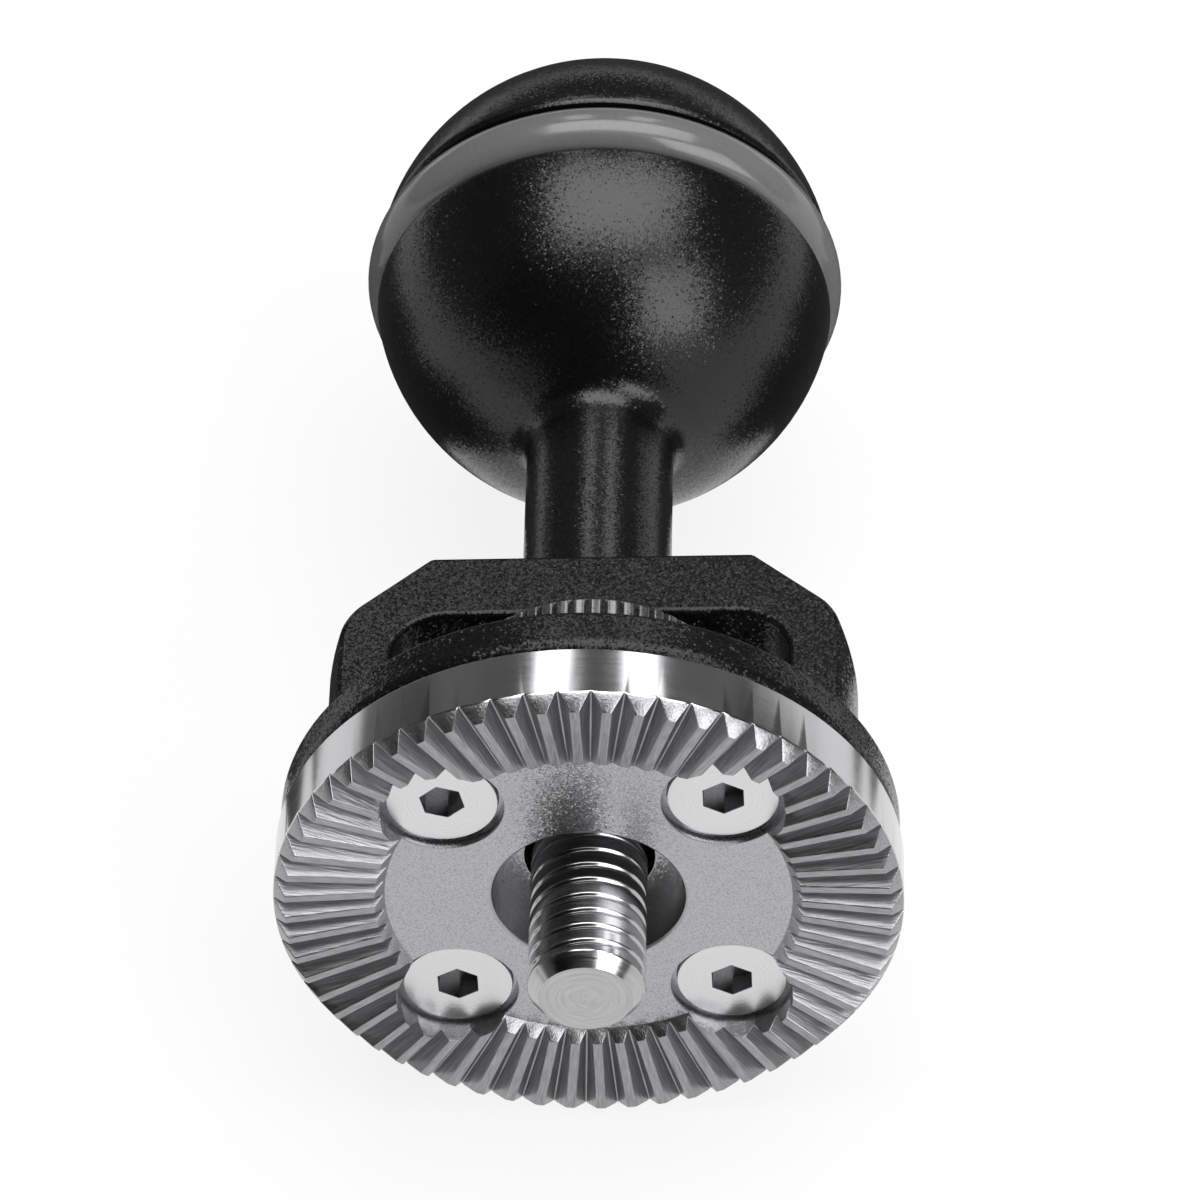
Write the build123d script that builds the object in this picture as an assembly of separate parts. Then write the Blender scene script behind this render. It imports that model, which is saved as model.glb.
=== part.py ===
from build123d import *
from math import pi, radians, sqrt, tan
import os

# Ball head for camera rigs: a toothed steel rosette with a captive clamp stud at one end, and a
# ball with a rubber ring on a stem at the other. A knurled wheel in the window turns the stud.
# Millimetres. The axis of the head is Y: the rosette faces -Y, the ball is at +Y, Z is up.
# The origin is on the axis, in the plane of the rosette's tooth tips.

# Rosette plate
ROSETTE_DIAMETER = 31.75
PLATE_THICKNESS = 3.7
TOOTH_COUNT = 60
TOOTH_LENGTH = 4.5
CREST_WIDTH = 0.45
CREST_DROP = 0.6
GROOVE_ANGLE = 60
GROOVE_ROOT_WIDTH = 0.08
RIM_CHAMFER_WIDTH = 0.6
RIM_CHAMFER_DEPTH = 0.85
TOOTH_END_RUN = 0.5
FLOOR_DEPTH = 1.27
BORE_DIAMETER = 9.7
BORE_EDGE = 0.12
SPIGOT_DIAMETER = 13.0
SPIGOT_LENGTH = 0.9
LEDGE_THICKNESS = 0.6

# Countersunk screws that hold the plate
SCREW_SPACING = 14.0
SCREW_DIAMETER = 3.0
SCREW_LENGTH = 4.0
SCREW_HEAD_DIAMETER = 5.6
SCREW_HEAD_RIM = 0.25
SCREW_HEX = 2.0
SCREW_HEX_DEPTH = 1.1
SCREW_SINK = 0.33
SCREW_POINT = 0.3
HEX_TURNS = (11, 0, 0, 0)

# Yoke frame: flange, two columns and bridge
FLANGE_INSET = 0.175
FLANGE_THICKNESS = 2.8
FLANGE_ROUND = 1.0
FLANGE_BACK_EDGE = 0.25
COLUMN_INSET = 2.075
COLUMN_THICKNESS = 3.45
YOKE_THICKNESS = 9.45
WINDOW_LENGTH = 9.97
WINDOW_CORNER = 2.8
YOKE_EDGE = 0.2
BRIDGE_THICKNESS = 4.08
BRIDGE_CHAMFER_WIDTH = 4.5
BRIDGE_CHAMFER_LENGTH = 4.0

# Ball, stem and rubber ring
BALL_DIAMETER = 24.9
BALL_STANDOFF = 24.4
STEM_DIAMETER = 7.8
NECK_FILLET = 1.7
RING_SECTION = 3.0
RING_DIAMETER = 25.7
GROOVE_WIDTH = 3.5
GROOVE_EDGE = 0.2
FOOT_DEPTH = 0.8
FOOT_FLATS = 6.4

# Countersunk screw that holds the stem
STEM_SCREW_DIAMETER = 4.0
STEM_SCREW_LENGTH = 12.0
STEM_SCREW_HEAD_DIAMETER = 7.5
STEM_SCREW_HEAD_RIM = 0.25
STEM_SCREW_HEX = 2.5
STEM_SCREW_HEX_DEPTH = 1.3
STEM_SCREW_SINK = 0.1
STEM_SCREW_POINT = 0.4
TAP_RUNOUT = 1.2

# Clamp stud, thumb wheel, pin and washer
STUD_DIAMETER = 5.9
STUD_REACH = 5.36
STUD_END_WIDTH = 0.68
STUD_END_LENGTH = 0.75
STUD_SHORTFALL = 0.3
SHANK_DIAMETER = 4.9
SHANK_SETBACK = 0.1
THREAD_PITCH = 1.0
THREAD_ANGLE = 60
THREAD_TURNS = 8
WHEEL_DIAMETER = 14.5
WHEEL_EDGE = 0.25
KNURL_COUNT = 54
KNURL_WIDTH = 0.36
KNURL_DEPTH = 0.3
PIN_DIAMETER = 2.0
PIN_RECESS = 0.3
PIN_EDGE = 0.2
WASHER_DIAMETER = 12.0
WASHER_THICKNESS = 0.8
STUD_TRAVEL = 1.05

# Clearances between pieces, on the radius unless it says otherwise
THREAD_GAP = 0.02
FIXED_FIT = 0.02
RUNNING_FIT = 0.05
SPIGOT_GAP = 0.05
FOOT_GAP = 0.05
STUD_HOLE_GAP = 0.35
SCREW_HOLE_GAP = 0.2
SCREW_HEAD_GAP = 0.3
SEAT_GAP = 0.02
FACE_GAP = 0.05
TRAVEL_GAP = 0.1

# Stations along Y
PLATE_BACK = PLATE_THICKNESS
SPIGOT_END = PLATE_BACK + SPIGOT_LENGTH
LEDGE = SPIGOT_END - LEDGE_THICKNESS
FLANGE_BACK = PLATE_BACK + FLANGE_THICKNESS
WINDOW_END = FLANGE_BACK + WINDOW_LENGTH
BRIDGE_BACK = WINDOW_END + BRIDGE_THICKNESS
FOOT_END = BRIDGE_BACK - FOOT_DEPTH
BALL_CENTRE = BRIDGE_BACK + BALL_STANDOFF
WASHER_FRONT = FLANGE_BACK + FACE_GAP
WASHER_BACK = WASHER_FRONT + WASHER_THICKNESS
WHEEL_FRONT = WASHER_BACK + FACE_GAP
WHEEL_BACK = WINDOW_END - TRAVEL_GAP - STUD_TRAVEL
WHEEL_MIDDLE = (WHEEL_FRONT + WHEEL_BACK) / 2
STUD_TIP = -STUD_REACH
SHANK_FRONT = LEDGE - SHANK_SETBACK
SCREW_TOP = FLOOR_DEPTH + SCREW_SINK
STEM_SCREW_TOP = WINDOW_END + STEM_SCREW_SINK

# Radii and half widths that several pieces share
ROSETTE_R = ROSETTE_DIAMETER / 2
CREST_OUTER_R = ROSETTE_R - RIM_CHAMFER_WIDTH
CREST_INNER_R = CREST_OUTER_R - TOOTH_LENGTH
FLOOR_R = CREST_INNER_R - TOOTH_END_RUN
SPIGOT_R = SPIGOT_DIAMETER / 2
FLANGE_R = ROSETTE_R - FLANGE_INSET
YOKE_R = FLANGE_R - COLUMN_INSET
YOKE_HALF = YOKE_THICKNESS / 2
FLAT_HALF = sqrt(YOKE_R**2 - YOKE_HALF**2)
WINDOW_HALF = YOKE_R - COLUMN_THICKNESS
BALL_R = BALL_DIAMETER / 2
STEM_R = STEM_DIAMETER / 2
RING_CENTRE_R = (RING_DIAMETER - RING_SECTION) / 2
STUD_R = STUD_DIAMETER / 2
STUD_HOLE_R = STUD_R + STUD_HOLE_GAP
SHANK_R = SHANK_DIAMETER / 2
WHEEL_R = WHEEL_DIAMETER / 2
PIN_R = PIN_DIAMETER / 2

# How far cutters run past what they cut, and how near an edge lies to the plane it is picked by
BEYOND = 1.0
OVERCUT = 0.05
NEAR = 0.001


def turned(*profile):
    """Solid turned about the Y axis from (radius, y) points."""
    return revolve(make_face(Polyline(*profile, close=True)), Axis.Y)


def facing(y):
    """Plane across the axis at y that faces -Y, with its local Y along +Z."""
    return Plane(origin=(0, y, 0), x_dir=(1, 0, 0), z_dir=(0, -1, 0))


def hex_socket(top, across_flats, depth, turn=0):
    """Hexagonal key socket that opens at top, towards -Y, with a corner up before it is turned."""
    hexagon = Rot(0, 0, 30 + turn) * RegularPolygon(across_flats / 2, 6, major_radius=False)
    return extrude(facing(top + depth) * hexagon, depth + BEYOND)


def countersunk_screw(top, diameter, length, head_diameter, head_rim, point):
    """Countersunk screw on the Y axis, head towards -Y, without its socket."""
    r = diameter / 2
    head_r = head_diameter / 2
    cone_end = top + head_rim + head_r - r
    end = top + length
    return turned(
        (0, top), (head_r, top), (head_r, top + head_rim), (r, cone_end), (r, end - point),
        (r - point, end), (0, end)
    )


def countersunk_hole(top, mouth, end, diameter, head_diameter, head_rim, head_gap):
    """Hole for countersunk_screw: head pocket from mouth, 90 degree seat, clearance hole to end."""
    pocket_r = head_diameter / 2 + head_gap
    seat_r = head_diameter / 2
    hole_r = diameter / 2 + SCREW_HOLE_GAP
    seat = top + head_rim + SEAT_GAP
    return turned(
        (0, mouth), (pocket_r, mouth), (pocket_r, seat), (seat_r, seat), (hole_r, seat + seat_r - hole_r),
        (hole_r, end), (0, end)
    )


def screw_places():
    """Places of the four plate screws: upper left, upper right, lower left, lower right."""
    half = SCREW_SPACING / 2
    return [Pos(-half, 0, half), Pos(half, 0, half), Pos(-half, 0, -half), Pos(half, 0, -half)]


def crest_y(r):
    """Depth of the tooth crests below the tip plane at radius r."""
    return CREST_DROP * (CREST_OUTER_R - r) / TOOTH_LENGTH


def groove_section(r):
    """V section of one tooth groove at radius r, in the plane across that radius."""
    slope = tan(radians(GROOVE_ANGLE / 2))
    root = GROOVE_ROOT_WIDTH / 2
    mouth = pi * r / TOOTH_COUNT - CREST_WIDTH / 2
    bottom = crest_y(r) + (mouth - root) / slope
    top = crest_y(r) - OVERCUT
    half = mouth + OVERCUT * slope
    vee = Polyline((-root, bottom), (root, bottom), (half, top), (-half, top), close=True)
    return Pos(0, 0, r) * make_face(vee)


def rosette_plate():
    """Steel disc with radial teeth, a recessed floor, a stepped centre hole and a rear spigot."""
    bore_r = BORE_DIAMETER / 2
    plate = turned(
        (STUD_HOLE_R, LEDGE), (bore_r, LEDGE), (bore_r, FLOOR_DEPTH + BORE_EDGE),
        (bore_r + BORE_EDGE, FLOOR_DEPTH), (FLOOR_R, FLOOR_DEPTH), (CREST_INNER_R, CREST_DROP),
        (CREST_OUTER_R, 0), (ROSETTE_R, RIM_CHAMFER_DEPTH), (ROSETTE_R, PLATE_BACK),
        (SPIGOT_R, PLATE_BACK), (SPIGOT_R, SPIGOT_END), (STUD_HOLE_R, SPIGOT_END)
    )
    groove = loft([groove_section(FLOOR_R - OVERCUT), groove_section(ROSETTE_R + OVERCUT)], ruled=True)
    pitch = 360 / TOOTH_COUNT
    grooves = [Rot(0, (k + 0.5) * pitch, 0) * groove for k in range(TOOTH_COUNT)]
    hole = countersunk_hole(
        SCREW_TOP, -BEYOND, PLATE_BACK + BEYOND, SCREW_DIAMETER, SCREW_HEAD_DIAMETER,
        SCREW_HEAD_RIM, SCREW_HEAD_GAP
    )
    return plate - grooves - [place * hole for place in screw_places()]


def rosette_screw(place, turn):
    """One countersunk socket screw of the plate."""
    screw = countersunk_screw(
        SCREW_TOP, SCREW_DIAMETER, SCREW_LENGTH, SCREW_HEAD_DIAMETER, SCREW_HEAD_RIM, SCREW_POINT
    )
    return place * (screw - hex_socket(SCREW_TOP, SCREW_HEX, SCREW_HEX_DEPTH, turn))


def yoke_flange():
    """Round flange behind the plate, rounded at its front edge, with the spigot's recess."""
    recess_r = SPIGOT_R + SPIGOT_GAP
    recess_end = SPIGOT_END + SPIGOT_GAP
    flange = turned((0, PLATE_BACK), (FLANGE_R, PLATE_BACK), (FLANGE_R, FLANGE_BACK), (0, FLANGE_BACK))
    back = flange.edges().filter_by(GeomType.CIRCLE).sort_by(Axis.Y)[-1]
    flange = chamfer(back, FLANGE_BACK_EDGE)
    front = flange.edges().filter_by(GeomType.CIRCLE).sort_by(Axis.Y)[0]
    flange = fillet(front, FLANGE_ROUND)
    return flange - turned((0, PLATE_BACK), (recess_r, PLATE_BACK), (recess_r, recess_end), (0, recess_end))


def yoke_arch():
    """Columns and bridge: a round bar with two flats, cut by the window and two corner chamfers."""
    bridge_half = FLAT_HALF - BRIDGE_CHAMFER_WIDTH
    wide = YOKE_R + BEYOND
    slope_end = BRIDGE_BACK - (wide - bridge_half) * BRIDGE_CHAMFER_LENGTH / BRIDGE_CHAMFER_WIDTH
    outline = make_face(Polyline(
        (-wide, FLANGE_BACK), (wide, FLANGE_BACK), (wide, slope_end), (bridge_half, BRIDGE_BACK),
        (-bridge_half, BRIDGE_BACK), (-wide, slope_end), close=True
    ))
    bar = turned((0, FLANGE_BACK), (YOKE_R, FLANGE_BACK), (YOKE_R, BRIDGE_BACK), (0, BRIDGE_BACK))
    arch = bar & extrude(outline, YOKE_HALF, both=True)
    window = Pos(0, (FLANGE_BACK + WINDOW_END) / 2) * Rectangle(2 * WINDOW_HALF, WINDOW_LENGTH)
    window = fillet(window.vertices().group_by(Axis.Y)[-1], WINDOW_CORNER)
    arch -= extrude(window, YOKE_HALF + BEYOND, both=True)
    return arch


def yoke_frame():
    """Flange, columns and bridge machined from one bar, with its holes."""
    arch = yoke_arch()
    flat_rims = [
        e for e in arch.edges()
        if abs(abs(e.center().Z) - YOKE_HALF) < NEAR and e.center().Y > FLANGE_BACK + NEAR
    ]
    yoke = chamfer(flat_rims, YOKE_EDGE) + yoke_flange()
    through = FLANGE_BACK + OVERCUT
    stud_hole = turned((0, PLATE_BACK), (STUD_HOLE_R, PLATE_BACK), (STUD_HOLE_R, through), (0, through))
    tapped_r = SCREW_DIAMETER / 2 + THREAD_GAP
    tapped = turned((0, PLATE_BACK), (tapped_r, PLATE_BACK), (tapped_r, through), (0, through))
    stem_hole = countersunk_hole(
        STEM_SCREW_TOP, WINDOW_END - OVERCUT, BRIDGE_BACK, STEM_SCREW_DIAMETER, STEM_SCREW_HEAD_DIAMETER,
        STEM_SCREW_HEAD_RIM, FIXED_FIT
    )
    return yoke - stud_hole - [place * tapped for place in screw_places()] - stem_hole - stem_foot(FOOT_GAP)


def stem_foot(gap):
    """Tenon with two flats at the foot of the stem, grown by gap for its seat."""
    r = STEM_R + gap
    end = FOOT_END - gap
    foot = turned((0, end), (r, end), (r, BRIDGE_BACK + gap), (0, BRIDGE_BACK + gap))
    flats = Pos(0, BRIDGE_BACK, 0) * Box(2 * STEM_R + BEYOND, 2 * FOOT_DEPTH + BEYOND, FOOT_FLATS + 2 * gap)
    return foot & flats


def ball_stem():
    """Ball and stem turned in one piece, with the ring's groove and a flatted foot."""
    ball = Pos(0, BALL_CENTRE) * Circle(BALL_R)
    stem = Pos(0, (BRIDGE_BACK + BALL_CENTRE) / 2) * Rectangle(STEM_DIAMETER, BALL_STANDOFF)
    neck = BALL_CENTRE - sqrt(BALL_R**2 - STEM_R**2)
    section = ball + stem
    corners = [v for v in section.vertices() if abs(v.Y - neck) < NEAR]
    section = fillet(corners, NECK_FILLET)
    side = GROOVE_WIDTH / 2
    lip_r = sqrt(BALL_R**2 - side**2)
    bottom_r = RING_CENTRE_R - RING_SECTION / 2 - FIXED_FIT
    flare = GROOVE_EDGE + BEYOND
    groove = Pos(0, BALL_CENTRE) * make_face(Polyline(
        (bottom_r, -side), (lip_r - GROOVE_EDGE, -side), (lip_r + BEYOND, -side - flare),
        (lip_r + BEYOND, side + flare), (lip_r - GROOVE_EDGE, side), (bottom_r, side), close=True
    ))
    right = Pos(BALL_R, BALL_CENTRE) * Rectangle(2 * BALL_R, 2 * (BALL_STANDOFF + BALL_R))
    turned_piece = revolve((section & right) - groove, Axis.Y)
    tap_r = STEM_SCREW_DIAMETER / 2 + THREAD_GAP
    tap_end = STEM_SCREW_TOP + STEM_SCREW_LENGTH + TAP_RUNOUT
    tapped = turned((0, FOOT_END), (tap_r, FOOT_END), (tap_r, tap_end), (0, tap_end + tap_r))
    return turned_piece + stem_foot(0) - tapped


def ball_o_ring():
    """Round-section rubber ring in the ball's groove."""
    return revolve(Pos(RING_CENTRE_R, BALL_CENTRE) * Circle(RING_SECTION / 2), Axis.Y)


def stem_screw():
    """Countersunk socket screw through the bridge into the stem."""
    screw = countersunk_screw(
        STEM_SCREW_TOP, STEM_SCREW_DIAMETER, STEM_SCREW_LENGTH, STEM_SCREW_HEAD_DIAMETER, STEM_SCREW_HEAD_RIM,
        STEM_SCREW_POINT
    )
    return screw - hex_socket(STEM_SCREW_TOP, STEM_SCREW_HEX, STEM_SCREW_HEX_DEPTH)


def thread_rings(start):
    """Profile points of the stud's thread from start: 60 degree rings, one for each pitch."""
    flank = THREAD_PITCH * 5 / 16
    root_r = STUD_R - flank / tan(radians(THREAD_ANGLE / 2))
    points = []
    for turn in range(THREAD_TURNS):
        y = start + turn * THREAD_PITCH
        groove_end = y + THREAD_PITCH * 7 / 8
        points += [(STUD_R, y), (root_r, y + flank), (root_r, groove_end - flank), (STUD_R, groove_end)]
    return points


def clamp_stud():
    """Captive steel stud: threaded front end, thinner shank and a cross hole for the wheel's pin."""
    back = WHEEL_BACK - STUD_SHORTFALL
    stud = turned(
        (0, STUD_TIP), (STUD_R - STUD_END_WIDTH, STUD_TIP), *thread_rings(STUD_TIP + STUD_END_LENGTH),
        (STUD_R, SHANK_FRONT), (SHANK_R, SHANK_FRONT), (SHANK_R, back), (0, back)
    )
    return stud - pin_hole()


def pin_hole():
    """Cross hole along X for the wheel's pin."""
    return Pos(0, WHEEL_MIDDLE, 0) * Rot(0, 90, 0) * Cylinder(PIN_R + FIXED_FIT, WHEEL_DIAMETER + BEYOND)


def thumb_wheel():
    """Knurled wheel on the back of the stud."""
    bore_r = SHANK_R + FIXED_FIT
    wheel = turned(
        (bore_r, WHEEL_FRONT), (WHEEL_R - WHEEL_EDGE, WHEEL_FRONT), (WHEEL_R, WHEEL_FRONT + WHEEL_EDGE),
        (WHEEL_R, WHEEL_BACK - WHEEL_EDGE), (WHEEL_R - WHEEL_EDGE, WHEEL_BACK), (bore_r, WHEEL_BACK)
    )
    half = KNURL_WIDTH / 2
    mouth = half * (KNURL_DEPTH + BEYOND) / KNURL_DEPTH
    past = WHEEL_R + BEYOND
    vee = make_face(Polyline((0, WHEEL_R - KNURL_DEPTH), (mouth, past), (-mouth, past), close=True))
    cut = extrude(facing(WHEEL_BACK + BEYOND) * vee, WHEEL_BACK - WHEEL_FRONT + 2 * BEYOND)
    knurl = [Rot(0, k * 360 / KNURL_COUNT, 0) * cut for k in range(KNURL_COUNT)]
    return wheel - knurl - pin_hole()


def wheel_pin():
    """Plain dowel that fixes the wheel to the stud."""
    length = WHEEL_DIAMETER - 2 * (KNURL_DEPTH + PIN_RECESS)
    pin = Cylinder(PIN_R, length)
    return Pos(0, WHEEL_MIDDLE, 0) * Rot(0, 90, 0) * chamfer(pin.edges().filter_by(GeomType.CIRCLE), PIN_EDGE)


def thrust_washer():
    """Plain washer on the stud between the wheel and the flange."""
    bore_r = SHANK_R + RUNNING_FIT
    rim_r = WASHER_DIAMETER / 2
    return turned((bore_r, WASHER_FRONT), (rim_r, WASHER_FRONT), (rim_r, WASHER_BACK), (bore_r, WASHER_BACK))


pieces = {
    "rosette_plate": rosette_plate(),
    "yoke_frame": yoke_frame(),
    "ball_stem": ball_stem(),
    "ball_o_ring": ball_o_ring(),
    "stem_screw": stem_screw(),
    "clamp_stud": clamp_stud(),
    "thumb_wheel": thumb_wheel(),
    "wheel_pin": wheel_pin(),
    "thrust_washer": thrust_washer(),
}
for number, (place, turn) in enumerate(zip(screw_places(), HEX_TURNS), 1):
    pieces[f"rosette_screw_{number}"] = rosette_screw(place, turn)

os.makedirs("parts", exist_ok=True)
for name, piece in pieces.items():
    export_step(piece, f"parts/{name}.step")
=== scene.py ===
from math import cos, hypot, pi, radians, sin

import bmesh
import bpy
from mathutils import Matrix, Quaternion, Vector


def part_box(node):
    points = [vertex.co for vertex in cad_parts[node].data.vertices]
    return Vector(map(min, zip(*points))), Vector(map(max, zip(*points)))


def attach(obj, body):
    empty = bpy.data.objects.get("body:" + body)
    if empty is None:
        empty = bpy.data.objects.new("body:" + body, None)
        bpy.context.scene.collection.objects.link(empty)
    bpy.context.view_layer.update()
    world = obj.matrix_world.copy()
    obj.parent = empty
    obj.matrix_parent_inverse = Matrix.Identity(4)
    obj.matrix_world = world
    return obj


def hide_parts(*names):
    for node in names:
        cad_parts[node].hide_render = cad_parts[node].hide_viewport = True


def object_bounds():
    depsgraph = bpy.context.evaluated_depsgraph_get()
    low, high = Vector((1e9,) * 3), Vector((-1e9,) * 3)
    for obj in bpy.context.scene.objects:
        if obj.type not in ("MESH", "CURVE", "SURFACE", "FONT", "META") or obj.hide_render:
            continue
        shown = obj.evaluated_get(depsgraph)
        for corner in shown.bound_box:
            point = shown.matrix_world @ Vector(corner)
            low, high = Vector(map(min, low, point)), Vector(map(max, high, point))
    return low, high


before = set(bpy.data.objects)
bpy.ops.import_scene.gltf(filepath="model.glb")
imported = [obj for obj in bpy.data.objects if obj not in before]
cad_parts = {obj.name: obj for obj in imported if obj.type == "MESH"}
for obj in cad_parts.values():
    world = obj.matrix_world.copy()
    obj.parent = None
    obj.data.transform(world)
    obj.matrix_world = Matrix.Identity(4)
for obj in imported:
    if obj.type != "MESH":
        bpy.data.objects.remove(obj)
cad_low, cad_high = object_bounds()

# Rosette plate: a stainless steel disc with 60 radial teeth milled round its face.
# The rim and the stepped centre hole are turned, and the recessed floor is finely blasted.
# Four countersunk screws hold it to the yoke's flange.
MM = 0.001
ROSETTE_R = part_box("rosette_plate")[1].x
ROSETTE_EDGE = 0.06 * MM
FLOOR_DEPTH = 1.27 * MM
FLOOR_R = 10.28 * MM
LEDGE_DEPTH = 4.0 * MM
TOOTH_BACK = 3.2 * MM
BORE_R = 4.85 * MM


def linear(hex_colour):
    """Linear RGBA of an sRGB hex colour, by the curve of the sRGB standard."""
    levels = [int(hex_colour[i:i + 2], 16) / 255 for i in (1, 3, 5)]
    return [c / 12.92 if c <= 0.04045 else ((c + 0.055) / 1.055) ** 2.4 for c in levels] + [1]


def new_material(name):
    """A material with its node tree and its surface shader."""
    material = bpy.data.materials.new(name)
    material.use_nodes = True
    return material, material.node_tree, material.node_tree.nodes["Principled BSDF"]


def feed(tree, node, inputs):
    """Sets a node's inputs: each is a plain value or the socket that feeds it."""
    for name, value in inputs.items():
        if isinstance(value, bpy.types.NodeSocket):
            tree.links.new(value, node.inputs[name])
        else:
            node.inputs[name].default_value = value


def add(tree, kind, inputs, **settings):
    """Adds a node with its settings and its inputs."""
    node = tree.nodes.new("ShaderNode" + kind)
    for name, value in settings.items():
        setattr(node, name, value)
    feed(tree, node, inputs)
    return node


def unrolled(tree, radius):
    """Places on a piece turned about Y: distance round the axis at a radius, along it, and out from it."""
    place = add(tree, "TexCoord", {}).outputs["Object"]
    axes = add(tree, "SeparateXYZ", {"Vector": place}).outputs
    across = add(tree, "CombineXYZ", {"X": axes["X"], "Y": axes["Z"]}).outputs["Vector"]
    outward = add(tree, "VectorMath", {0: across}, operation="LENGTH").outputs["Value"]
    angle = add(tree, "Math", {0: axes["X"], 1: axes["Z"]}, operation="ARCTAN2").outputs[0]
    around = add(tree, "Math", {0: angle, 1: radius}, operation="MULTIPLY").outputs[0]
    return around, axes["Y"], outward


def worked_steel(tree, surface, lines, greys, roughness, bump, depth):
    """Finish of a worked steel face: the tool's lines set how grey, how rough and how raised it is."""
    colour = add(tree, "MixRGB", {0: lines, 1: linear(greys[0]), 2: linear(greys[1])}).outputs[0]
    rough = add(tree, "MapRange", {"Value": lines, "To Min": roughness[0], "To Max": roughness[1]}).outputs[0]
    raised = add(tree, "Bump", {"Height": lines, "Strength": bump, "Distance": depth}).outputs[0]
    feed(tree, surface, {"Base Color": colour, "Metallic": 1, "Roughness": rough, "Normal": raised})


def turned(name, radius, line, detail, **finish):
    """Steel turned about Y: noise that is drawn out round the axis makes the lines that the tool leaves."""
    steel, tree, surface = new_material(name)
    around, along, outward = unrolled(tree, radius)
    lathe = add(tree, "CombineXYZ", {"X": around, "Y": along, "Z": outward}).outputs[0]
    lines = add(tree, "TexNoise", {"Vector": lathe, "Scale": 1 / line, "Detail": detail}).outputs["Fac"]
    worked_steel(tree, surface, lines, **finish)
    return steel


# Turned stainless steel: grey metal with fine lines round the axis, which stretch its highlights.
# A fine feed leaves closer lines than these, which are drawn as coarse as they need to show.
TURNING_LINE = 0.1 * MM
TURNING_STRETCH = 0.03
turned_steel = turned("turned_stainless_steel", TURNING_STRETCH * ROSETTE_R, TURNING_LINE, detail=3,
                      greys=("#8c8c8e", "#b4b4b6"), roughness=(0.2, 0.36), bump=0.3, depth=0.006 * MM)

# Polished rim: the same steel, smoothed after turning, so that it mirrors lamps in soft white bands.
rim_steel = turned("polished_turned_stainless_steel", TURNING_STRETCH * ROSETTE_R, TURNING_LINE, detail=3,
                   greys=("#bcbcbe", "#cacacc"), roughness=(0.1, 0.2), bump=0.1, depth=0.006 * MM)

# Bored stainless steel: the wall of the centre hole is left rough from the boring tool.
# Its darker grey is painted shade, standing for the shade inside the hole.
BORING_STRETCH = 0.1
bored_steel_painted_shade = turned("bored_stainless_steel_painted_shade", BORING_STRETCH * ROSETTE_R, TURNING_LINE, detail=2,
                     greys=("#787879", "#b8b8ba"), roughness=(0.25, 0.45), bump=0.5, depth=0.01 * MM)

# Milled stainless steel: the cutter leaves fine lines along each tooth and a duller, uneven face.
# These lines too are drawn as coarse as they need to show.
MILLING_LINE = 0.12 * MM
MILLING_STRETCH = 0.07
milled_steel, tree, surface = new_material("milled_stainless_steel")
around, along, outward = unrolled(tree, ROSETTE_R)
drawn = add(tree, "Math", {0: outward, 1: MILLING_STRETCH}, operation="MULTIPLY").outputs[0]
cutter = add(tree, "CombineXYZ", {"X": around, "Y": along, "Z": drawn}).outputs[0]
lines = add(tree, "TexNoise", {"Vector": cutter, "Scale": 1 / MILLING_LINE, "Detail": 3}).outputs["Fac"]
worked_steel(tree, surface, lines, greys=("#6c6c6e", "#bcbcbe"), roughness=(0.24, 0.42), bump=1,
             depth=0.02 * MM)

# Blasted stainless steel: an even matte grey of fine grains, which sparkle where light and dark meet.
# The grain of a real blast is finer than this one, which is drawn as coarse as it needs to show.
BLAST_GRAIN = 0.09 * MM
BLAST_LEAN = 0.5
RANDOM_MIDDLE = (0.5, 0.5, 0.5)


def blasted(name, grain, lean, greys, finish):
    """Blasted face of small facets: most lean a little and a few a lot, and each darkens from its middle."""
    material, tree, surface = new_material(name)
    place = add(tree, "TexCoord", {}).outputs["Object"]
    facets = add(tree, "TexVoronoi", {"Vector": place, "Scale": 1 / grain}).outputs
    turn = add(tree, "VectorMath", {0: facets["Color"], 1: RANDOM_MIDDLE}, operation="SUBTRACT").outputs[0]
    square = add(tree, "VectorMath", {0: turn, 1: turn}, operation="DOT_PRODUCT").outputs["Value"]
    skewed = add(tree, "VectorMath", {0: turn, "Scale": square}, operation="SCALE").outputs[0]
    level = add(tree, "NewGeometry", {}).outputs["Normal"]
    tilt = {0: skewed, 1: (lean,) * 3, 2: level}
    leant = add(tree, "VectorMath", tilt, operation="MULTIPLY_ADD").outputs[0]
    normal = add(tree, "VectorMath", {0: leant}, operation="NORMALIZE").outputs[0]
    apart = facets["Distance"]
    colour = add(tree, "MixRGB", {0: apart, 1: linear(greys[0]), 2: linear(greys[1])}).outputs[0]
    feed(tree, surface, {"Base Color": colour, "Normal": normal, **finish})
    return material


blasted_steel = blasted("blasted_stainless_steel", BLAST_GRAIN, BLAST_LEAN, greys=("#c0c0c2", "#98989a"),
                        finish={"Metallic": 1, "Roughness": 0.27})

WELD = 0.001 * MM
FLAT_ANGLE = radians(0.3)
SHARP_ANGLE = radians(28)
FACING_FRONT = 0.99
FACING_ASIDE = 0.1


def merged_copy(node, weld=WELD):
    """A CAD node's mesh with its loose triangles joined and its flat faces made whole."""
    bm = bmesh.new()
    bm.from_mesh(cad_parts[node].data)
    bmesh.ops.remove_doubles(bm, verts=bm.verts, dist=weld)
    bmesh.ops.dissolve_limit(bm, angle_limit=FLAT_ANGLE, verts=bm.verts, edges=bm.edges)
    return bm


def outer_edges(bm):
    """Edges that stand out and are sharp."""
    return [e for e in bm.edges if e.is_manifold and e.calc_face_angle_signed() > SHARP_ANGLE]


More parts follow.
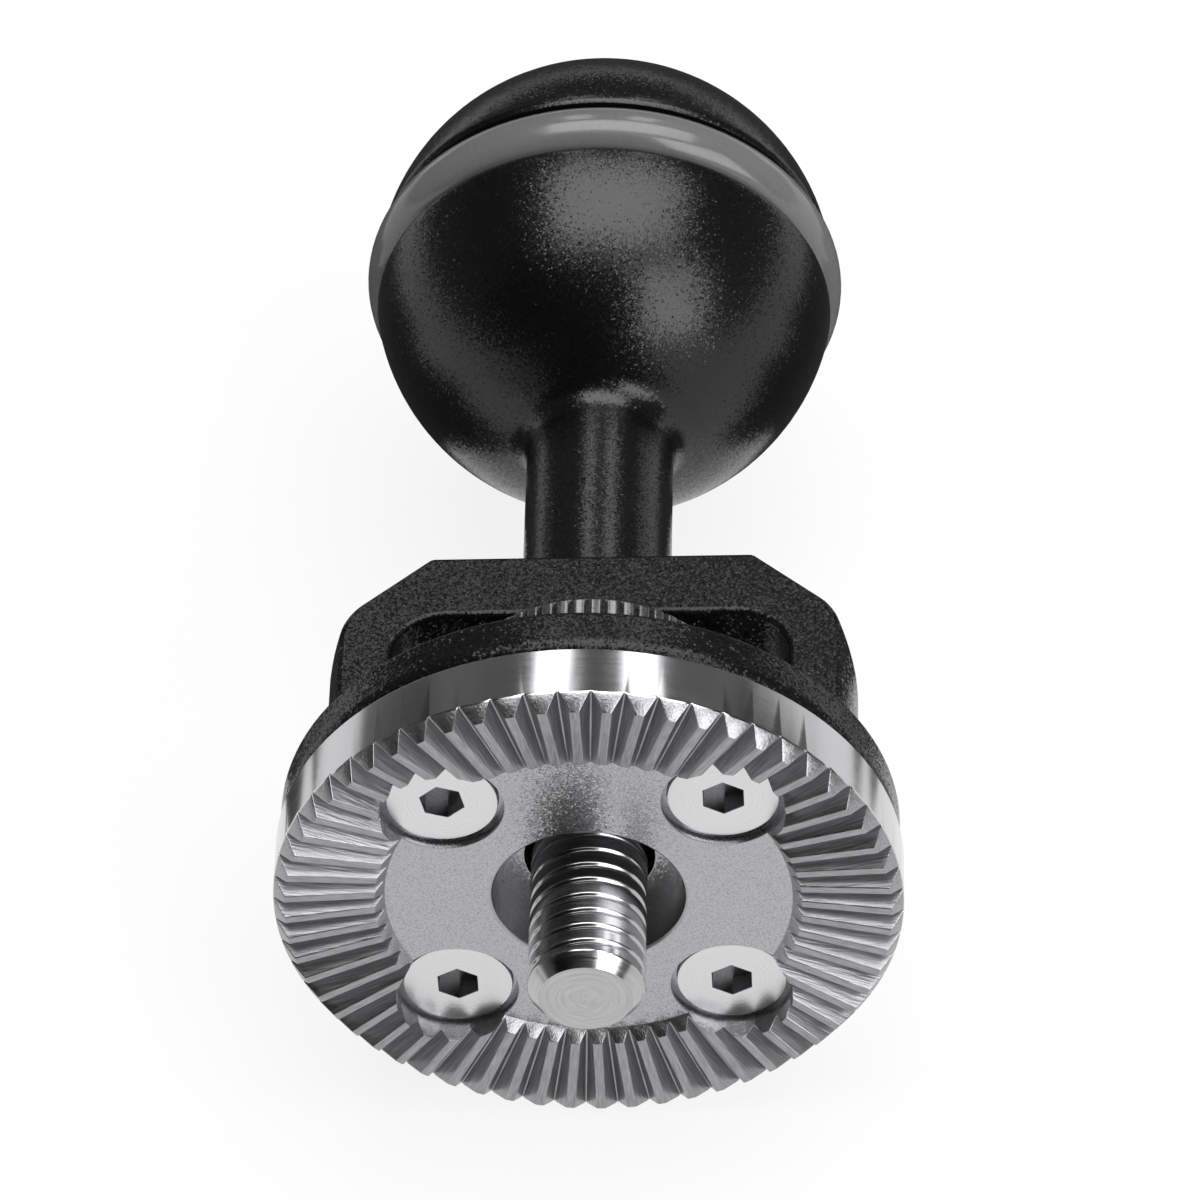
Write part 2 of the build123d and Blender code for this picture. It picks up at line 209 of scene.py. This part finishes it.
def round_edges(bm, edges, width, segments=2):
    """Rounds edges a little, as deburring and blasting leave them."""
    bmesh.ops.bevel(bm, geom=edges, offset=width, offset_type="OFFSET", segments=segments, profile=0.5,
                    affect="EDGES", clamp_overlap=False, material=-1)


def add_piece(bm, name, node, body, slot, *materials):
    """Makes a piece of a bmesh, which stands for a CAD node and rides on its body."""
    for face in bm.faces:
        face.smooth = True
    for edge in bm.edges:
        edge.smooth = edge.is_manifold and edge.calc_face_angle() < SHARP_ANGLE
    mesh = bpy.data.meshes.new(name)
    bm.to_mesh(mesh)
    bm.free()
    for material in materials:
        mesh.materials.append(material)
    piece = bpy.data.objects.new(name, mesh)
    bpy.context.scene.collection.objects.link(piece)
    even = piece.modifiers.new("even_shading", "WEIGHTED_NORMAL")
    even.keep_sharp = True
    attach(piece, body)
    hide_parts(node)


bm = merged_copy("rosette_plate")
round_edges(bm, outer_edges(bm), ROSETTE_EDGE)
finishes = [turned_steel, rim_steel, bored_steel_painted_shade, milled_steel, blasted_steel]
for face in bm.faces:
    middle = face.calc_center_median()
    radius = hypot(middle.x, middle.z)
    on_floor = abs(middle.y - FLOOR_DEPTH) < WELD
    on_ledge = abs(middle.y - LEDGE_DEPTH) < WELD and radius < BORE_R
    finish = turned_steel
    if abs(face.normal.y) > FACING_FRONT and (on_floor or on_ledge):
        finish = blasted_steel
    elif FLOOR_R < radius < ROSETTE_R - ROSETTE_EDGE and middle.y < TOOTH_BACK:
        finish = milled_steel
    elif radius > ROSETTE_R - ROSETTE_EDGE:
        finish = rim_steel
    elif abs(radius - BORE_R) < ROSETTE_EDGE and abs(face.normal.y) < FACING_ASIDE:
        finish = bored_steel_painted_shade
    face.material_index = finishes.index(finish)
add_piece(bm, "toothed_rosette", "rosette_plate", "frame", "rosette_steel", *finishes)

# Rosette screws: four M3 countersunk socket screws of stainless steel, a little below the floor.
# Their heads are faced on a lathe to a satin white; the broached sockets are dull, and darker by painted
# shade.
# The rings of the facing cut are drawn as coarse as they need to show.
SCREW_COUNT = 4
SCREW_HALF_SPACING = 7.0 * MM
OFF_AXIS = (1, 0, 1)
SCREW_EDGE = 0.06 * MM
SOCKET_R = 1.25 * MM
SOCKET_DEPTH = 1.2 * MM
FACING_LINE = 0.12 * MM
BROACH_DRAG = 0.15 * MM
satin_steel, tree, surface = new_material("satin_stainless_steel")
place = add(tree, "TexCoord", {}).outputs["Object"]
folded = add(tree, "VectorMath", {0: place}, operation="ABSOLUTE").outputs["Vector"]
middle = (SCREW_HALF_SPACING, 0, SCREW_HALF_SPACING)
centred = add(tree, "VectorMath", {0: folded, 1: middle}, operation="SUBTRACT").outputs["Vector"]
across = add(tree, "VectorMath", {0: centred, 1: OFF_AXIS}, operation="MULTIPLY").outputs["Vector"]
outward = add(tree, "VectorMath", {0: across}, operation="LENGTH").outputs["Value"]
rings = add(tree, "TexNoise", {"W": outward, "Scale": 1 / FACING_LINE}, noise_dimensions="1D").outputs["Fac"]
worked_steel(tree, surface, rings, greys=("#d0d0d2", "#e0e0e1"), roughness=(0.22, 0.36), bump=0.1,
             depth=0.01 * MM)


def mottled(name, patch, detail, greys, roughness, metallic=0):
    """Plain finish whose grey and roughness vary from patch to patch."""
    material, tree, surface = new_material(name)
    place = add(tree, "TexCoord", {}).outputs["Object"]
    cloud = add(tree, "TexNoise", {"Vector": place, "Scale": 1 / patch, "Detail": detail}).outputs["Fac"]
    colour = add(tree, "MixRGB", {0: cloud, 1: linear(greys[0]), 2: linear(greys[1])}).outputs[0]
    rough = add(tree, "MapRange", {"Value": cloud, "To Min": roughness[0], "To Max": roughness[1]}).outputs[0]
    feed(tree, surface, {"Base Color": colour, "Metallic": metallic, "Roughness": rough})
    return material


# The sockets' darker grey is painted shade, standing for the shade inside them.
socket_steel_painted_shade = mottled("broached_steel_painted_shade", BROACH_DRAG, detail=2, greys=("#6e6e70", "#a0a0a2"),
                       roughness=(0.25, 0.4), metallic=1)
screw_finishes = [satin_steel, socket_steel_painted_shade]
for number in range(1, SCREW_COUNT + 1):
    node = f"rosette_screw_{number}"
    low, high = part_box(node)
    axis = (low + high) / 2
    bm = merged_copy(node)
    round_edges(bm, outer_edges(bm), SCREW_EDGE)
    for face in bm.faces:
        middle = face.calc_center_median()
        inside = hypot(middle.x - axis.x, middle.z - axis.z) < SOCKET_R
        if inside and low.y + SCREW_EDGE < middle.y < low.y + SOCKET_DEPTH:
            face.material_index = screw_finishes.index(socket_steel_painted_shade)
    add_piece(bm, f"socket_screw_{number}", node, "frame", "screw_steel", *screw_finishes)

# Yoke frame: flange, two columns and a chamfered bridge, machined from one aluminium bar.
# Blasting rounds its edges and leaves a leathery grain, which shows through the black anodising.
# The grain is drawn coarser than a real one, so that it shows.
YOKE_GRAIN = 0.1 * MM
YOKE_LEAN = 1.1
YOKE_WELD = 0.04 * MM
YOKE_EDGE = 0.13 * MM
YOKE_CORNER = 1.3 * MM
CORNER_SEGMENTS = 8
COLUMN_R = 13.55 * MM
SLANT_SUM = 29.38 * MM
CORNER_REACH = 0.35 * MM
CORNER_BOX = Vector((11.2, 14.3, 3.2)) * MM
yoke_black = blasted("black_anodised_aluminium_blasted", YOKE_GRAIN, YOKE_LEAN, greys=("#161617", "#060607"),
                     finish={"Roughness": 0.22, "Specular IOR Level": 0.24})


def by_corner(vert):
    """Whether a vertex lies where a rounded corner of the yoke meets its flats."""
    return abs(vert.co.x) > CORNER_BOX.x and vert.co.y > CORNER_BOX.y and abs(vert.co.z) > CORNER_BOX.z


bm = merged_copy("yoke_frame", YOKE_WELD)
corners = []
for edge in outer_edges(bm):
    middle = (edge.verts[0].co + edge.verts[1].co) / 2
    on_column = abs(hypot(middle.x, middle.z) - COLUMN_R) < CORNER_REACH
    if on_column and abs(abs(middle.x) + middle.y - SLANT_SUM) < CORNER_REACH:
        corners.append(edge)
round_edges(bm, corners, YOKE_CORNER, CORNER_SEGMENTS)
round_edges(bm, [e for e in outer_edges(bm) if not any(by_corner(v) for v in e.verts)], YOKE_EDGE)
add_piece(bm, "window_yoke", "yoke_frame", "frame", "yoke_black", yoke_black)

# Stem screw: a black countersunk socket screw under the bridge, which holds the stem.
# It is hidden behind the thumb wheel, and black oxide keeps it dull.
OXIDE_PATCH = 0.3 * MM


def dress(name, material):
    """Gives a CAD node that keeps its shape this material."""
    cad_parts[name].material_slots[0].material = material


black_oxide = mottled("black_oxide_steel", OXIDE_PATCH, detail=3, greys=("#202022", "#343436"),
                      roughness=(0.3, 0.5), metallic=1)
dress("stem_screw", black_oxide)

# Ball and stem: turned from one aluminium bar, with a groove round the ball's equator.
# It is anodised black over a finer blast than the yoke, so its highlights break up into dots.
# The dots are drawn coarser than the real grain, so that they show.
BALL_GRAIN = 0.08 * MM
BALL_LEAN = 0.55
BALL_MIDDLE = sum(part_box("ball_o_ring"), Vector()).y / 2
LIP_HALF = 1.95 * MM
LIP_REACH = 0.1 * MM
LIP_ROUND = 0.25 * MM
LIP_SEGMENTS = 4
ball_black = blasted("black_anodised_aluminium_fine", BALL_GRAIN, BALL_LEAN, greys=("#0f0f10", "#040405"),
                     finish={"Roughness": 0.23, "Specular IOR Level": 0.4})
bm = merged_copy("ball_stem")
lips = []
for edge in outer_edges(bm):
    middle = (edge.verts[0].co + edge.verts[1].co) / 2
    if abs(abs(middle.y - BALL_MIDDLE) - LIP_HALF) < LIP_REACH:
        lips.append(edge)
round_edges(bm, lips, LIP_ROUND, LIP_SEGMENTS)
add_piece(bm, "ball_and_stem", "ball_stem", "frame", "ball_black", ball_black)

# Rubber ring: a moulded grey ring stretched into the ball's groove, so that a clamp grips the ball.
# Its skin is smooth and half glossy, with a faint cloudiness.
RING_CLOUD = 0.25 * MM
ring_rubber = mottled("grey_moulded_rubber", RING_CLOUD, detail=4, greys=("#626263", "#6e6e6f"),
                      roughness=(0.1, 0.18))
dress("ball_o_ring", ring_rubber)

# Clamp stud: a captive M6 screw of stainless steel, with a rolled thread and a turned end.
# Behind the thread it thins to a shank, which the thumb wheel is pinned to. A ground pin holds it there.
STUD_LOW, STUD_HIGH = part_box("clamp_stud")
STUD_R = STUD_HIGH.x
THREAD_PITCH = 1.0 * MM
THREAD_DEPTH = 0.13 * MM
CREST_SHARE = 0.6
ROOT_SHARE = 0.08
PITCH_POINTS = 24
TURN_STEPS = 64
END_WIDTH = 0.58 * MM
END_LENGTH = 0.7 * MM
SHANK_R = 2.45 * MM
SHANK_FRONT = 3.9 * MM


def thread_radius(share):
    """Radius of the thread at a share of one pitch: smoothly from a crest to the root and back."""
    depth = (1 - abs(2 * share - 1) - CREST_SHARE) / (1 - CREST_SHARE - ROOT_SHARE)
    depth = min(max(depth, 0), 1)
    return STUD_R - THREAD_DEPTH * depth * depth * (3 - 2 * depth)


def cut_across(bm, y, **clear):
    """Cuts a bmesh at y and returns the edges of the cut."""
    everything = bm.verts[:] + bm.edges[:] + bm.faces[:]
    made = bmesh.ops.bisect_plane(bm, geom=everything, dist=WELD, plane_co=(0, y, 0), plane_no=(0, 1, 0),
                                  **clear)
    return [e for e in made["geom_cut"] if isinstance(e, bmesh.types.BMEdge)]


def extruded_loop(bm, loop):
    """Extrudes a loop of edges, and returns the new vertices and edges."""
    made = bmesh.ops.extrude_edge_only(bm, edges=loop)["geom"]
    verts = [v for v in made if isinstance(v, bmesh.types.BMVert)]
    return verts, [e for e in made if isinstance(e, bmesh.types.BMEdge) and set(e.verts) <= set(verts)]


bm = bmesh.new()
start = STUD_LOW.y - THREAD_PITCH
shares = [k / PITCH_POINTS for k in range(PITCH_POINTS + 1)]
points = [bm.verts.new((thread_radius(share), start + share * THREAD_PITCH, 0)) for share in shares]
for one, other in zip(points, points[1:]):
    bm.edges.new((one, other))
turns = round((SHANK_FRONT - start) / THREAD_PITCH) + 1
bmesh.ops.spin(bm, geom=bm.verts[:] + bm.edges[:], cent=(0, 0, 0), axis=(0, 1, 0), angle=2 * pi * turns,
               steps=TURN_STEPS * turns, dvec=(0, THREAD_PITCH / TURN_STEPS, 0))
bmesh.ops.remove_doubles(bm, verts=bm.verts, dist=WELD)
front_loop = cut_across(bm, STUD_LOW.y, clear_inner=True)
for vert in bm.verts:
    radius = hypot(vert.co.x, vert.co.z)
    limit = STUD_R - END_WIDTH * (1 - min((vert.co.y - STUD_LOW.y) / END_LENGTH, 1))
    if radius > limit:
        vert.co.x *= limit / radius
        vert.co.z *= limit / radius
bmesh.ops.edgeloop_fill(bm, edges=front_loop)
loop = cut_across(bm, SHANK_FRONT, clear_outer=True)
verts, loop = extruded_loop(bm, loop)
for vert in verts:
    share = SHANK_R / hypot(vert.co.x, vert.co.z)
    vert.co.x *= share
    vert.co.z *= share
verts, loop = extruded_loop(bm, loop)
for vert in verts:
    vert.co.y = STUD_HIGH.y
bmesh.ops.edgeloop_fill(bm, edges=loop)
bmesh.ops.recalc_face_normals(bm, faces=bm.faces)

# Polished stainless steel: a bright mirror, broken by fine lathe lines that lie in rings on the end.
# They are drawn as coarse as they need to show.
STUD_LINE = 0.12 * MM
STUD_STRETCH = 0.05
polished_steel = turned("polished_stainless_steel", STUD_STRETCH * STUD_R, STUD_LINE, detail=2,
                        greys=("#9a9a9c", "#c6c6c7"), roughness=(0.12, 0.26), bump=0.6, depth=0.01 * MM)
add_piece(bm, "threaded_stud", "clamp_stud", "thumb_screw", "stud_steel", polished_steel)
dress("wheel_pin", polished_steel)

# Thumb wheel: a straight-knurled steel wheel pinned to the stud inside the yoke's window.
# The knurl's edges are broken, so each ridge catches a thin line of light.
WHEEL_EDGE = 0.06 * MM
WHEEL_DRAG = 0.3 * MM
wheel_steel = mottled("knurled_stainless_steel", WHEEL_DRAG, detail=3, greys=("#6c6c6e", "#9a9a9c"),
                      roughness=(0.2, 0.36), metallic=1)
bm = merged_copy("thumb_wheel")
round_edges(bm, outer_edges(bm), WHEEL_EDGE)
add_piece(bm, "knurled_wheel", "thumb_wheel", "thumb_screw", "wheel_steel", wheel_steel)

# Thrust washer: a plain black acetal washer between the wheel and the flange.
# It is cut from sheet and left matte, and it is loose on the stud.
ACETAL_PATCH = 0.4 * MM
acetal = mottled("black_acetal", ACETAL_PATCH, detail=3, greys=("#161617", "#202021"), roughness=(0.4, 0.55))
dress("thrust_washer", acetal)

# Floor: a plain white studio floor under the head. Seen straight or in a reflection it is nearly
# pure white, and it keeps a share of its own shading so that the head's soft shadow stays on it.
FLOOR_WHITE = "#f2f2f2"
FLOOR_WIDTH = 3.0
FLOOR_GLOW = 0.85
UP = (0, 0, 1)
MATTE = {"Roughness": 1, "Specular IOR Level": 0}


def level_turn(facing):
    """Rotation that points local Z along a direction and keeps local X as near to X as it can."""
    out = Vector(facing).normalized()
    right = (Vector((1, 0, 0)) - out * out.x).normalized()
    return Matrix((right, out.cross(right), out)).transposed()


def add_sheet(name, centre, facing, width, height, material):
    """Flat sheet that is part of the studio: it lies about a centre and faces a direction."""
    bm = bmesh.new()
    bmesh.ops.create_grid(bm, x_segments=1, y_segments=1, size=0.5)
    bmesh.ops.scale(bm, verts=bm.verts, vec=(width, height, 1))
    bmesh.ops.rotate(bm, verts=bm.verts, cent=(0, 0, 0), matrix=level_turn(facing))
    bmesh.ops.translate(bm, verts=bm.verts, vec=centre)
    mesh = bpy.data.meshes.new(name)
    bm.to_mesh(mesh)
    bm.free()
    mesh.materials.append(material)
    sheet = bpy.data.objects.new(name, mesh)
    bpy.context.scene.collection.objects.link(sheet)
    return sheet


def seen_or_mirrored(tree):
    """One for rays straight from the camera, from a mirror or through glass, and nought for others."""
    rays = add(tree, "LightPath", {}).outputs
    both = {0: rays["Is Glossy Ray"], 1: rays["Is Transmission Ray"]}
    bounced = add(tree, "Math", both, operation="MAXIMUM").outputs[0]
    any_ray = {0: rays["Is Camera Ray"], 1: bounced}
    return add(tree, "Math", any_ray, operation="MAXIMUM").outputs[0]


floor_white, tree, surface = new_material("white_studio_floor")
feed(tree, surface, {"Base Color": linear(FLOOR_WHITE), **MATTE})
share = add(tree, "Math", {0: seen_or_mirrored(tree), 1: FLOOR_GLOW}, operation="MULTIPLY").outputs[0]
glow = add(tree, "Emission", {"Strength": 1}).outputs[0]
mixed = add(tree, "MixShader", {0: share, 1: surface.outputs[0], 2: glow}).outputs[0]
tree.links.new(mixed, tree.nodes["Material Output"].inputs["Surface"])
add_sheet("studio_floor", (0, 0, cad_low.z), UP, FLOOR_WIDTH, FLOOR_WIDTH, floor_white)

# Studio light: white all round, a wide softbox overhead, a smaller one at the front right and
# two bright strips behind. They face the point at the middle of the frame.
AIM = Vector((0.20, 21.52, 0.23)) * MM
AMBIENT_GREY = "#6e6e6e"
SEEN_WHITE = "#ffffff"
LAMP_DISTANCE = 0.6
world = bpy.data.worlds.new("white_studio")
bpy.context.scene.world = world
world.use_nodes = True
tree = world.node_tree
sky = add(tree, "MixRGB", {0: seen_or_mirrored(tree), 1: linear(AMBIENT_GREY), 2: linear(SEEN_WHITE)})
tree.links.new(sky.outputs[0], tree.nodes["Background"].inputs["Color"])


def add_softbox(name, direction, width, height, radiance):
    """Rectangular area light that faces the head from a direction, as bright as radiance."""
    lamp = bpy.data.lights.new(name, "AREA")
    lamp.shape = "RECTANGLE"
    lamp.size = width
    lamp.size_y = height
    lamp.energy = radiance * pi * width * height
    light = bpy.data.objects.new(name, lamp)
    light.location = AIM + Vector(direction).normalized() * LAMP_DISTANCE
    light.rotation_mode = "QUATERNION"
    light.rotation_quaternion = level_turn(direction).to_quaternion()
    light.visible_camera = False
    bpy.context.scene.collection.objects.link(light)


add_softbox("overhead_softbox", (0.15, 0.02, 0.98), width=0.7, height=0.48, radiance=3.9)
add_softbox("front_right_softbox", (0.605, -0.627, 0.491), width=0.37, height=0.37, radiance=3.6)
add_softbox("rear_left_strip", (-0.146, 0.682, 0.717), width=0.1, height=0.3, radiance=3)
add_softbox("rear_right_strip", (0.256, 0.682, 0.685), width=0.1, height=0.3, radiance=3)

# Cards: dull boards round the head and on the floor, which only reflections show.
# They keep part of the shiny pieces dark, as the dark parts of a real studio do.
CARD_DISTANCE = 0.8
CARD_LIFT = 1 * MM
NO_SHIFT = (0, 0, 0)


def graded_board(name, axis, places, greys):
    """Dull board for a card, painted from one grey to another between two distances along an axis."""
    board, tree, surface = new_material(name)
    axes = add(tree, "SeparateXYZ", {"Vector": add(tree, "TexCoord", {}).outputs["Object"]}).outputs
    away = add(tree, "Math", {0: axes[axis]}, operation="ABSOLUTE").outputs[0]
    share = add(tree, "MapRange", {"Value": away, "From Min": places[0], "From Max": places[1]}).outputs[0]
    grade = add(tree, "MixRGB", {0: share, 1: linear(greys[0]), 2: linear(greys[1])}).outputs[0]
    feed(tree, surface, {"Base Color": grade, **MATTE})
    return board


def plain_board(name, grey):
    """Dull board for a card, of one grey."""
    board, tree, surface = new_material(name)
    feed(tree, surface, {"Base Color": linear(grey), **MATTE})
    return board


def add_card(name, centre, facing, width, height, material):
    """Card for reflections alone: it faces a direction and throws no shadow."""
    card = add_sheet(name, centre, facing, width, height, material)
    card.visible_camera = False
    card.visible_diffuse = False
    card.visible_shadow = False


def stand_card(name, direction, width, height, material, shift=NO_SHIFT):
    """Card that stands off from the head in a direction, with a shift."""
    out = Vector(direction).normalized()
    add_card(name, AIM + out * CARD_DISTANCE + Vector(shift), out, width, height, material)


def lay_card(name, place, width, length, material):
    """Card that lies just above the floor at a place."""
    x, y = place
    add_card(name, (x, y, cad_low.z + CARD_LIFT), UP, width, length, material)


black_felt = plain_board("black_felt", "#050505")
dark_board = plain_board("dark_board", "#404040")
front_board = graded_board("front_board", "Z", places=(0, 0.35), greys=("#707070", "#0a0a0a"))
side_board = graded_board("side_board", "Z", places=(0, 0.5), greys=("#9a9a9a", "#5c5c5c"))
rear_board = graded_board("rear_board", "X", places=(0.2, 0.95), greys=("#686868", "#d0d0d0"))
stand_card("front_card", (-0.4, -0.75, 0.4), width=1.7, height=1.0, material=front_board)
stand_card("rear_card", (0, 0.866, 0.5), width=1.9, height=1.6, material=rear_board, shift=(-0.25, 0, 0))
stand_card("left_card", (-0.94, 0.05, 0.34), width=1.5, height=1.3, material=side_board)
stand_card("right_card", (0.94, 0.05, 0.34), width=1.5, height=1.3, material=side_board)
lay_card("ball_card", (0, 142 * MM), width=120 * MM, length=200 * MM, material=dark_board)
lay_card("left_column_card", (-28 * MM, 34 * MM), width=28 * MM, length=20 * MM, material=dark_board)
lay_card("right_column_card", (28 * MM, 37 * MM), width=28 * MM, length=14 * MM, material=dark_board)
lay_card("stud_card", (-64 * MM, -62 * MM), width=72 * MM, length=76 * MM, material=black_felt)

# Camera: a long lens from the front, well above the head and a little to its right.
# Its place, turn and lens are those at which the head fills the frame as in the photograph.
SENSOR = 36.0
LENS = 222.83
ELEVATION = 46.917
AZIMUTH = 3.747
ROLL = -3.640
DISTANCE = 387.51 * MM
CLIP = 100
camera = bpy.data.objects.new("camera", bpy.data.cameras.new("camera"))
camera.data.sensor_width = SENSOR
camera.data.lens = LENS
camera.data.clip_start = DISTANCE / CLIP
camera.data.clip_end = DISTANCE * CLIP
level = radians(ELEVATION)
side = radians(AZIMUTH)
back = Vector((sin(side) * cos(level), -cos(side) * cos(level), sin(level)))
camera.location = AIM + back * DISTANCE
camera.rotation_mode = "QUATERNION"
camera.rotation_quaternion = back.to_track_quat("Z", "Y") @ Quaternion((0, 0, 1), radians(ROLL))
bpy.context.scene.collection.objects.link(camera)
bpy.context.scene.camera = camera
bpy.context.scene.view_settings.view_transform = "Standard"
